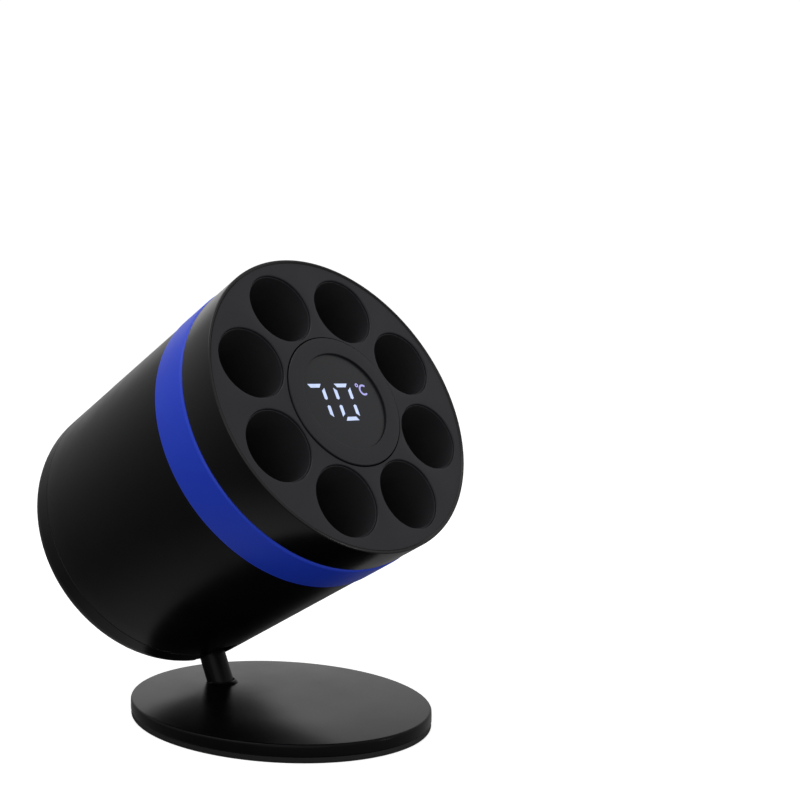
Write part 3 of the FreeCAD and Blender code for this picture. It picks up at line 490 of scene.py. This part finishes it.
# %% Seam bead
NEARLY = 0.99  # two full half rounds would meet in one point
rear = (node_points("rear_cap") - face_middle) / MM
seam = (rear @ inward)[np.hypot(rear @ across, rear @ upward) > body_radius - FIT].min()
bead_round = (seam - body_back) / 2
bead_profile = rounded([
    (body_bore + FIT, body_back, 0),
    (body_radius, body_back, NEARLY * bead_round),
    (body_radius, seam, NEARLY * bead_round),
    (body_bore + FIT, seam, 0),
])
bead_angle = np.linspace(slot_angle, 2 * np.pi - slot_angle, TURNS) - np.pi / 2
bead_radius, bead_depth = bead_profile[:, :1], bead_profile[:, 1:]
bead_points = on_barrel(bead_radius * np.cos(bead_angle), bead_radius * np.sin(bead_angle), bead_depth)
bead_faces = grid_faces(len(bead_profile), TURNS, close_rows=True, close_columns=False)
bead_ends = [np.arange(len(bead_profile)) * TURNS + column for column in (0, TURNS - 1)]
add_piece("seam_bead", bead_points, [*bead_faces, *bead_ends], "barrel", [], "gloss_black_plastic")
print(f"seam {seam:.2f} mm behind the face, {2 * bead_round:.2f} mm wide")

# %% [markdown]
# ## Face plate
# A disc with eight wells is no turned shape. A boolean could cut the holes, but the slivers that it
# leaves shade badly. Instead the disc is split into eight equal wedges, one around each well. Rays run
# from the well's rim out to the wedge's edge, so every wedge is a grid of rays by steps along the ray.
# Neighbouring wedges meet at the same points, and merging them closes the plate.

# %% Face plate
wells = [mount for mount in frame["record"]["mounts"] if mount["kind"] == "bore"]
well_offset = (np.array([mount["pos_m"] for mount in wells]) - face_middle) / MM
well_x, well_y = well_offset @ across, well_offset @ upward
well_pitch = np.hypot(well_x, well_y).mean()
well_angle = math.atan2(well_y[0], well_x[0]) + 2 * np.pi * np.arange(len(wells)) / len(wells)
well_radius = wells[0]["dims"]["r_mm"]
MOUTH_GAP, MOUTH_ROUND = 0.2, 0.4  # millimetres between well and mouth, round of the mouth's edge
mouth_radius = well_radius + MOUTH_GAP
RAYS, LIP_STEPS = 144, 8
SAME = 1e-6  # millimetres, counts as the same place


def wedge_edge(ray, half):
    """How far each ray runs from the well's middle to the wedge's edge, and if it ends on a round side.

    A ray meets a circle where the squared length of start + distance * direction is the squared radius,
    and a straight side where its offset from that side is zero. The nearest of these is the edge.
    """
    direction = np.stack([np.cos(ray), np.sin(ray)], -1)
    along = well_pitch * direction[:, 0]
    outer = -along + np.sqrt(along ** 2 - well_pitch ** 2 + plate_radius ** 2)
    under = along ** 2 - well_pitch ** 2 + plate_bore ** 2
    inner = np.where((under >= 0) & (along < 0), -along - np.sqrt(np.maximum(under, 0)), np.inf)
    straight = []
    for sign in (1, -1):
        normal = np.array([-np.sin(half), sign * np.cos(half)])
        slope = direction @ normal
        side = -well_pitch * normal[0] / np.maximum(slope, TINY)
        straight.append(np.where(slope > TINY, side, np.inf))
    flat = np.minimum(*straight)
    round_side = np.minimum(outer, inner)
    return np.minimum(round_side, flat), round_side <= flat + SAME


half_wedge = np.pi / len(wells)
corner_radius = np.array([plate_radius, plate_radius, plate_bore, plate_bore])
corner_side = np.array([1, -1, 1, -1]) * np.sin(half_wedge)
corner_ray = np.arctan2(corner_radius * corner_side, corner_radius * np.cos(half_wedge) - well_pitch)
ray = np.sort(np.append(np.linspace(-np.pi, np.pi, RAYS, endpoint=False), corner_ray))
edge, on_round = wedge_edge(ray, half_wedge)
lip_turn = np.linspace(0, np.pi / 2, LIP_STEPS)[:, None]
lip_radius = mouth_radius + MOUTH_ROUND * (1 - np.sin(lip_turn))
lip_depth = MOUTH_ROUND * (1 - np.cos(lip_turn))
flat = np.ones_like(ray)
distance = np.vstack([edge, lip_radius * flat, mouth_radius * flat, edge])
depth = np.vstack([0 * flat, lip_depth * flat, plate_back * flat, plate_back * flat])
wedge_x, wedge_y = well_pitch + distance * np.cos(ray), distance * np.sin(ray)
turn = well_angle[:, None, None]
plate_points = on_barrel(wedge_x * np.cos(turn) - wedge_y * np.sin(turn),
                         wedge_x * np.sin(turn) + wedge_y * np.cos(turn), depth[None])
wedge_faces = grid_faces(len(distance), len(ray), close_rows=True)
row, column = np.divmod(np.arange(len(wedge_faces)), len(ray))
outside = on_round & np.roll(on_round, -1)
wedge_faces = wedge_faces[(row < len(distance) - 1) | outside[column]]
step = np.arange(len(wells))[:, None, None] * distance.size
plate_faces = (wedge_faces[None] + step).reshape(-1, 4)
add_piece("face_disc", plate_points, plate_faces, "barrel", ["face_plate"], "face_plastic")

# %% [markdown]
# ## Well cups
# Each well is a thin drawn cup of black anodised aluminium, with a rounded floor that wipes clean.
# Its lip stands up in the plate's hole, so no step shows at the mouth.
# A cylinder with a thickness would give the wall. A turned profile also gives lip and floor, so it is
# carried round each well's own axis, and all eight share one mesh.

# %% Well cups
CUP_WALL, CUP_FLOOR = 0.6, 0.8
LIP_DEPTH = 0.55  # millimetres, lip below the face
FLOOR_ROUND, RIM_ROUND, SHOULDER_ROUND = 2.0, 0.06, 0.2
SMALL_TURNS = 96  # steps round a small turned piece
cup_front, cup_back = reach("well_cups")[:2]
cup_radius = well_radius + CUP_WALL
floor_depth = cup_back - CUP_FLOOR
cup_profile = rounded([
    (0, floor_depth, 0),
    (well_radius, floor_depth, FLOOR_ROUND),
    (well_radius, LIP_DEPTH, RIM_ROUND),
    (mouth_radius - FIT, LIP_DEPTH, RIM_ROUND),
    (mouth_radius - FIT, cup_front + FIT, 0),
    (cup_radius, cup_front + FIT, SHOULDER_ROUND),
    (cup_radius, cup_back, FLOOR_ROUND),
    (0, cup_back, 0),
])
cup_points, cup_faces = zip(*[lathe(cup_profile, x, y, SMALL_TURNS) for x, y in zip(well_x, well_y)])
cup_step = np.arange(len(wells))[:, None, None] * len(cup_points[0])
cup_faces = (np.array(cup_faces) + cup_step).reshape(-1, 4)
add_piece("well_liners", np.concatenate(cup_points), cup_faces, "barrel", ["well_cups"], "black_aluminium")

# %% [markdown]
# ## Display cap and window
# The round cap in the middle is pressed to change the mode. It stands a little above the face,
# and its window lies deeper, so the wall between them shows as a dark crescent on one side.
# Bevelled cylinders would give the outside. The profile also gives the ledge that holds the window.

# %% Display cap and window
SKIRT_WALL = 1.15  # millimetres
WINDOW_EDGE, DISC_EDGE, LENS_EDGE = 0.2, 0.3, 0.15
disc_front, disc_back, window_radius, disc_radius = reach("display_cap")
lens_front, lens_back, _, lens_radius = reach("display_lens")
skirt_bore = disc_radius - SKIRT_WALL
disc_profile = rounded([
    (window_radius, disc_front, WINDOW_EDGE),
    (disc_radius, disc_front, DISC_EDGE),
    (disc_radius, disc_back, 0),
    (skirt_bore, disc_back, 0),
    (skirt_bore, lens_back, 0),
    (lens_radius + FIT, lens_back, 0),
    (lens_radius + FIT, lens_front, 0),
    (window_radius, lens_front, 0),
])
add_piece("display_cap_disc", *lathe(disc_profile), "display_button", ["display_cap"], "face_plastic")
lens_profile = rounded([
    (0, lens_front, 0),
    (lens_radius, lens_front, LENS_EDGE),
    (lens_radius, lens_back, LENS_EDGE),
    (0, lens_back, 0),
])
add_piece("display_window", *lathe(lens_profile), "display_button", ["display_lens"], "lens_plastic")

# %% [markdown]
# ## Lit digits
# The display shows a temperature in plain seven-segment digits with a degree sign. Only the lit
# segments are seen through the smoked window, so each is a thin bar lying on the lens.
# A font would be quicker, but bars with mitred ends follow the real module's segments.
# White emitters under a blue-tinted film look slightly blue, and those to the right lavender.

# %% Lit digits
BAR = 0.92  # millimetres, stroke of a segment
DIGIT_WIDTH, DIGIT_TOP, DIGIT_BOTTOM, DIGIT_MIDDLE = 4.45, 4.0, -4.35, -0.18
DIGIT_PITCH, SECOND_DIGIT = 8.15, 0.475
HALF_GAP = 0.66  # millimetres, from the digit's middle to the uprights' inner ends
MITRE = 0.75  # cut back at a bar's inner corners, as a share of its stroke
TIP, FLAT_END, UPRIGHT_END = 0.3, 0.22, 0.62  # further shares: an upright's point, and the gaps at its corner
SPOTS, BETWEEN = 1.6, 0.85  # millimetres between emitters, and the share of light there
WHITE_LIGHT, LAVENDER_LIGHT = 0.82, 0.66
BAR_FRONT, BAR_BACK = -0.04, 0.1  # millimetres from the lens's front


def lit_material(name, colour, strength):
    """Light through a diffusing film: brightest over each emitter, a little weaker between them."""
    material, tree, shader, place = new_material(name)
    spots = add(tree, "ShaderNodeTexNoise", {"Vector": place, "Scale": per(SPOTS), "Detail": 1.0})
    level = add(tree, "ShaderNodeMapRange", {"Value": spots.outputs["Fac"], "From Min": 0.3, "From Max": 0.7,
                                             "To Min": BETWEEN * strength, "To Max": strength})
    surface(tree, shader, spots.outputs["Fac"], "#8f9ac0", "#a5aed0", 0.4, 0.05)
    tree.links.new(level.outputs["Result"], shader.inputs["Emission Strength"])
    shader.inputs["Emission Color"].default_value = linear(colour)
    return material


def flat_bar(middle):
    """A level segment: a strip of the stroke's width, with its inner corners cut back by the mitre."""
    half, sign = DIGIT_WIDTH / 2 - BAR * FLAT_END, math.copysign(1, middle)
    edge, inner = middle + sign * BAR / 2, middle - sign * BAR / 2
    return np.array([(-half, edge), (half, edge), (half - MITRE * BAR, inner), (MITRE * BAR - half, inner)])


def upright(side, far):
    """An upright segment: its outer edge runs further to the corner than its inner edge."""
    x, sign = side * DIGIT_WIDTH / 2, math.copysign(1, far)
    near = DIGIT_MIDDLE + sign * HALF_GAP
    shoulder = near + sign * BAR * TIP
    end = far - sign * BAR * UPRIGHT_END
    outer, inner = x + side * BAR / 2, x - side * BAR / 2
    cut = end - sign * MITRE * BAR
    return np.array([(outer, end), (outer, shoulder), (x, near), (inner, shoulder), (inner, cut)])


def prism(outline, front, back):
    """A flat outline carried straight back, with both ends closed."""
    count = len(outline)
    level = np.repeat([front, back], count)
    points = on_barrel(np.tile(outline[:, 0], 2), np.tile(outline[:, 1], 2), level)
    ends = [np.arange(count), np.arange(count, 2 * count)]
    return points, [*grid_faces(2, count), *ends]


def lit_piece(name, outlines, material):
    """Joins thin bars into one piece that lies on the lens."""
    points, faces, start = [], [], 0
    for outline in outlines:
        bar_points, bar_faces = prism(outline, lens_front + BAR_FRONT, lens_front + BAR_BACK)
        points.append(bar_points)
        faces += [np.asarray(face) + start for face in bar_faces]
        start += len(bar_points)
    add_piece(name, np.concatenate(points), faces, "display_button", [], "lens_plastic", material)


seven = [flat_bar(DIGIT_TOP), upright(1, DIGIT_TOP), upright(1, DIGIT_BOTTOM)]
zero = [flat_bar(DIGIT_TOP), flat_bar(DIGIT_BOTTOM)]
zero += [upright(side, far) for side in (1, -1) for far in (DIGIT_TOP, DIGIT_BOTTOM)]
digit_bars = [bar + (SECOND_DIGIT - DIGIT_PITCH, 0) for bar in seven]
digit_bars += [bar + (SECOND_DIGIT, 0) for bar in zero]
lit_piece("lit_digits", digit_bars, lit_material("lit_white_film", "#ccdcff", WHITE_LIGHT))


def arc_stroke(x, y, half_width, half_height, start, end, stroke, steps=40):
    """A curved stroke: an outer arc one way and an inner arc back."""
    turn = np.radians(np.linspace(start, end, steps))
    arc = np.stack([np.cos(turn), np.sin(turn)], -1)
    size = np.array([half_width, half_height])
    return np.concatenate([arc * (size + stroke / 2), (arc * (size - stroke / 2))[::-1]]) + (x, y)


LETTER = (7.22, 2.78, 1.1, 1.18, 48, 312)  # middle, half sizes and the arc's ends in degrees
SIGN_STROKE = 0.46
DEGREE_PLACE, DEGREE_RADIUS, DEGREE_STROKE, DEGREE_TURNS = (5.5, 4.0), 0.36, 0.26, 40
lavender = lit_material("lit_lavender_film", "#b9adff", LAVENDER_LIGHT)
lit_piece("lit_celsius", [arc_stroke(*LETTER, SIGN_STROKE)], lavender)
degree_profile = np.array([
    (DEGREE_RADIUS - DEGREE_STROKE / 2, lens_front + BAR_BACK),
    (DEGREE_RADIUS - DEGREE_STROKE / 2, lens_front + BAR_FRONT),
    (DEGREE_RADIUS + DEGREE_STROKE / 2, lens_front + BAR_FRONT),
    (DEGREE_RADIUS + DEGREE_STROKE / 2, lens_front + BAR_BACK),
])
degree = lathe(degree_profile, *DEGREE_PLACE, DEGREE_TURNS)
add_piece("lit_degree_ring", *degree, "display_button", [], "lens_plastic", lavender)

# %% [markdown]
# ## Foot
# The foot is an oval steel plate on a grip pad, cut from plate and broken at its edges.
# A stretched cylinder would stretch its rounded edge too. So the outline is shrunk by the profile's
# inset at each height, the same all round, and the inner rows close to a point.

# %% Foot plate and pad
OVAL_STEPS = 240
HALFWAY = 0.5  # one more row of points, halfway from the middle to the edge
PLATE_EDGES, PAD_EDGES = (0.3, 0.55), (0.35, 0.1)  # millimetres, lower and upper round


def oval_solid(half_width, half_length, profile):
    """Rows of (share, inset, height): a point lies at share * (half size - inset) along each axis."""
    turn = np.linspace(0, 2 * np.pi, OVAL_STEPS, endpoint=False)
    share, inset, height = (column[:, None] for column in np.array(profile, float).T)
    x = share * (half_width - inset) * np.cos(turn)
    y = share * (half_length - inset) * np.sin(turn)
    points = np.stack(np.broadcast_arrays(x, y, height + 0 * turn), -1) * MM
    return points.reshape(-1, 3), grid_faces(len(profile), OVAL_STEPS)


def edge_profile(low, high, low_round, high_round):
    """From the underside's middle out to the edge, up over both rounds and back to the top's middle."""
    turn = np.linspace(0, np.pi / 2, ARC_STEPS)
    ones, rising, falling = np.ones(ARC_STEPS), 1 - np.cos(turn), 1 - np.sin(turn)
    lower = np.stack([ones, low_round * falling, low + low_round * rising], -1)
    upper = np.stack([ones, high_round * rising, high - high_round * falling], -1)
    return np.vstack([[(0, 0, low), (HALFWAY, 0, low)], lower, upper, [(HALFWAY, 0, high), (0, 0, high)]])


plate_low, plate_high = (np.array(corner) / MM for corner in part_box("base_plate"))
pad_low, pad_high = (np.array(corner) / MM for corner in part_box("base_pad"))
plate = oval_solid(*plate_high[:2], edge_profile(plate_low[2], plate_high[2], *PLATE_EDGES))
add_piece("foot_plate", *plate, "stand", ["base_plate"], "black_steel")
pad = oval_solid(*pad_high[:2], edge_profile(pad_low[2], pad_high[2], *PAD_EDGES))
add_piece("foot_pad", *pad, "stand", ["base_pad"], "grip_rubber")

# %% [markdown]
# ## Post foot
# The post is welded into the plate, and the coat fills the corner to a small hollow fillet.
# A bevel could make it if post and plate were one mesh, but they are separate pieces. So the fillet is
# a ring of curves: each starts on the post's side and ends on the plate, and a slide along the leaning
# post brings every point to its height.

# %% Post fillet
FILLET = 0.6
SUNK, INSIDE, BELOW = 0.02, 0.3, 0.2  # millimetres: into the post's skin, into the post, into the plate
NEAR = 0.01  # millimetres, counts as level with the plate's top
post = node_points("post") / MM
collar_low, collar_high = (np.array(corner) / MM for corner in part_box("post_collar"))
post_axis = upward
post_radius = np.abs(post[post[:, 2] < plate_high[2] + NEAR, 0]).max()
foot_middle = np.array((0.0, (collar_low[1] + collar_high[1]) / 2, plate_high[2]))
around = np.linspace(0, 2 * np.pi, SMALL_TURNS, endpoint=False)
bend = np.linspace(0, np.pi / 2, ARC_STEPS + 1)[:, None]
sideways = np.cross(post_axis, across)
circle = np.cos(around)[:, None] * across + np.sin(around)[:, None] * sideways
flare = post_radius - SUNK + FILLET * (1 - np.cos(bend))
rise = FILLET * (1 - np.sin(bend))
flare_ring = flare[..., None] * circle
slide = (rise - flare_ring[..., 2]) / post_axis[2]
fillet_rows = foot_middle + flare_ring + slide[..., None] * post_axis
inner_ring = (post_radius - INSIDE) * circle
inner_slide = (np.array([[-BELOW], [FILLET]]) - inner_ring[..., 2]) / post_axis[2]
inner_rows = foot_middle + inner_ring + inner_slide[..., None] * post_axis
fillet_points = np.concatenate([fillet_rows, inner_rows]) * MM
fillet_faces = grid_faces(len(fillet_points), len(around), close_rows=True)
add_piece("post_fillet", fillet_points, fillet_faces, "stand", ["post_collar"], "black_steel")

# %% [markdown]
# ## Rear cap screws
# Three socket head screws close the rear cap, sunk into it. The socket is pressed with a hexagonal
# punch, which a boolean could copy, and the rest of a screw is turned. A turned profile will do for
# all of it if its two socket rows are drawn out to a hexagon. The three screws share one mesh.

# %% Rear cap screws
SHANK_RADIUS, HEAD_HEIGHT, SOCKET_HALF, SOCKET_DEPTH = 1.25, 1.5, 1.0, 0.9
HEAD_EDGE, TIP_EDGE, SCREWS = 0.3, 0.3, 3
SOCKET_CORNERS = (5, 6)  # corners of the profile that follow the hexagon


def hexagon(angle):
    """A hexagon's edge as a share of its half width: 1 / cos(angle from the nearest flat's middle)."""
    return 1 / np.cos((angle + np.pi / 6) % (np.pi / 3) - np.pi / 6)


screw_tip, screw_back, screw_near, screw_far = reach("rear_cap_screws")
screw_pitch, head_radius = (screw_near + screw_far) / 2, (screw_far - screw_near) / 2
screw_profile = rounded([
    (0, screw_tip, 0),
    (SHANK_RADIUS, screw_tip, TIP_EDGE),
    (SHANK_RADIUS, screw_back - HEAD_HEIGHT, 0),
    (head_radius, screw_back - HEAD_HEIGHT, 0),
    (head_radius, screw_back, HEAD_EDGE),
    (SOCKET_HALF, screw_back, 0),
    (SOCKET_HALF, screw_back - SOCKET_DEPTH, 0),
    (0, screw_back - SOCKET_DEPTH, 0),
])
on_socket = np.isin(np.arange(len(screw_profile)) // ARC_STEPS, SOCKET_CORNERS)[:, None]
screw_radius = screw_profile[:, :1] * np.where(on_socket, hexagon(around), 1)
screw_turn = (np.pi / 2 + 2 * np.pi * np.arange(SCREWS) / SCREWS)[:, None, None]
screw_points = on_barrel(screw_pitch * np.cos(screw_turn) + screw_radius * np.cos(around),
                         screw_pitch * np.sin(screw_turn) + screw_radius * np.sin(around),
                         screw_profile[:, 1:])
screw_step = np.arange(SCREWS)[:, None, None] * screw_radius.size
screw_faces = grid_faces(len(screw_profile), len(around), close_rows=True)[None] + screw_step
add_piece("socket_screws", screw_points, screw_faces.reshape(-1, 4), "barrel", ["rear_cap_screws"], "steel")

# %% [markdown]
# ## Studio
# A plain white sweep lies under the object. A softbox above lights the top of the barrel, a weak one
# at the left fills the shade, and a narrow strip draws a line down the post. Dark satin plastic shows
# mostly what it mirrors, so the surroundings glow too: broadly from above, in a patch behind at the
# right, and faintly from the sweep. The camera sees plain white there. A picture of a real studio could
# light the object as well, but these few patches are easy to move.

# %% Studio
scene = bpy.context.scene
scene.view_settings.view_transform = "Standard"
floor_mesh = bpy.data.meshes.new("floor")
FLOOR = 6.0  # metres, half its side
FLOOR_GLOW, BACKDROP = 0.72, 1.05
FIBRES = 2.0  # millimetres between paper fibres, drawn coarser than real
floor_corners = [(-FLOOR, -FLOOR, 0), (FLOOR, -FLOOR, 0), (FLOOR, FLOOR, 0), (-FLOOR, FLOOR, 0)]
floor_mesh.from_pydata(floor_corners, [], [(0, 1, 2, 3)])
floor = bpy.data.objects.new("floor", floor_mesh)
scene.collection.objects.link(floor)
material, tree, shader, place = new_material("white_paper_sweep")
fibres = add(tree, "ShaderNodeTexNoise", {"Vector": place, "Scale": per(FIBRES), "Detail": 2.0})
surface(tree, shader, fibres.outputs["Fac"], "#f4f4f4", "#ffffff", 0.8, 0.05)
shader.inputs["Emission Color"].default_value = (1, 1, 1, 1)
shader.inputs["Emission Strength"].default_value = FLOOR_GLOW
floor_mesh.materials.append(material)
floor.visible_glossy = False
floor.visible_diffuse = False

world = bpy.data.worlds.new("studio")
scene.world = world
world.use_nodes = True
tree = world.node_tree
direction = add(tree, "ShaderNodeTexCoord").outputs["Generated"]
GLOWS = (  # towards, cosine where it starts, cosine where it is full, dimmest, brightest
    ((0.24, -0.26, 0.94), -1.0, 0.9, 0.05, 0.53),
    ((0.52, 0.78, 0.32), 0.88, 1.0, 0.0, 0.42),
    ((0.10, 0.42, -0.90), 0.66, 1.0, 0.0, 0.20),
)
lit = 0.0
for towards, start, full, low, high in GLOWS:
    towards = Vector(towards).normalized()
    facing = add(tree, "ShaderNodeVectorMath", {0: direction, 1: towards}, operation="DOT_PRODUCT")
    cosine = facing.outputs["Value"]
    glow = add(tree, "ShaderNodeMapRange", {"Value": cosine, "From Min": start, "From Max": full,
                                            "To Min": low, "To Max": high}, interpolation_type="SMOOTHSTEP")
    lit = add(tree, "ShaderNodeMath", {0: glow.outputs["Result"], 1: lit}, operation="ADD").outputs["Value"]
seen = add(tree, "ShaderNodeLightPath").outputs["Is Camera Ray"]
strength = add(tree, "ShaderNodeMix", {0: seen, 2: lit, 3: BACKDROP})
tree.links.new(strength.outputs[0], tree.nodes["Background"].inputs["Strength"])
tree.nodes["Background"].inputs["Color"].default_value = (1, 1, 1, 1)
print("glows of the surroundings:", len(GLOWS))

# %% [markdown]
# ## Lights and camera
# The camera stands low at the left of the face, at the distance and focal length that the object's
# outline asks for. All places are in millimetres. Spot lights would draw hard edges, so the lights are
# rectangles, large for their distance.

# %% Lights and camera
OBJECT_MIDDLE = (0, 0, 55)
POST_MIDDLE = (0, 25, 12)
LIGHTS = (  # name, place, aim, width, height, watts
    ("top_softbox", (-160, 160, 620), OBJECT_MIDDLE, 500, 500, 0.8),
    ("fill_softbox", (-520, -330, 140), OBJECT_MIDDLE, 520, 460, 0.34),
    ("post_strip", (190, -500, 30), POST_MIDDLE, 45, 160, 0.14),
)
CAMERA_PLACE, CAMERA_TOWARDS = (-184.45, -210.42, 82.33), (0.7343, 0.6784, -0.0235)
LENS, SENSOR = 52.2, 36.0  # millimetres
NEAREST = 10  # millimetres, where the camera starts to see


def softbox(name, place, aim, width, height, power):
    """A rectangular light at a place in millimetres, turned towards another."""
    light = bpy.data.lights.new(name, "AREA")
    light.shape = "RECTANGLE"
    light.size, light.size_y, light.energy = width * MM, height * MM, power
    holder = bpy.data.objects.new(name, light)
    holder.location = Vector(place) * MM
    holder.rotation_euler = (Vector(aim) - Vector(place)).to_track_quat("-Z", "Y").to_euler()
    scene.collection.objects.link(holder)


for settings in LIGHTS:
    softbox(*settings)
camera_data = bpy.data.cameras.new("camera")
camera_data.lens, camera_data.sensor_width = LENS, SENSOR
camera_data.clip_start = NEAREST * MM
camera = bpy.data.objects.new("camera", camera_data)
camera.location = Vector(CAMERA_PLACE) * MM
camera.rotation_euler = Vector(CAMERA_TOWARDS).to_track_quat("-Z", "Y").to_euler()
scene.collection.objects.link(camera)
scene.camera = camera
print("camera at", [round(value, 3) for value in camera.location])
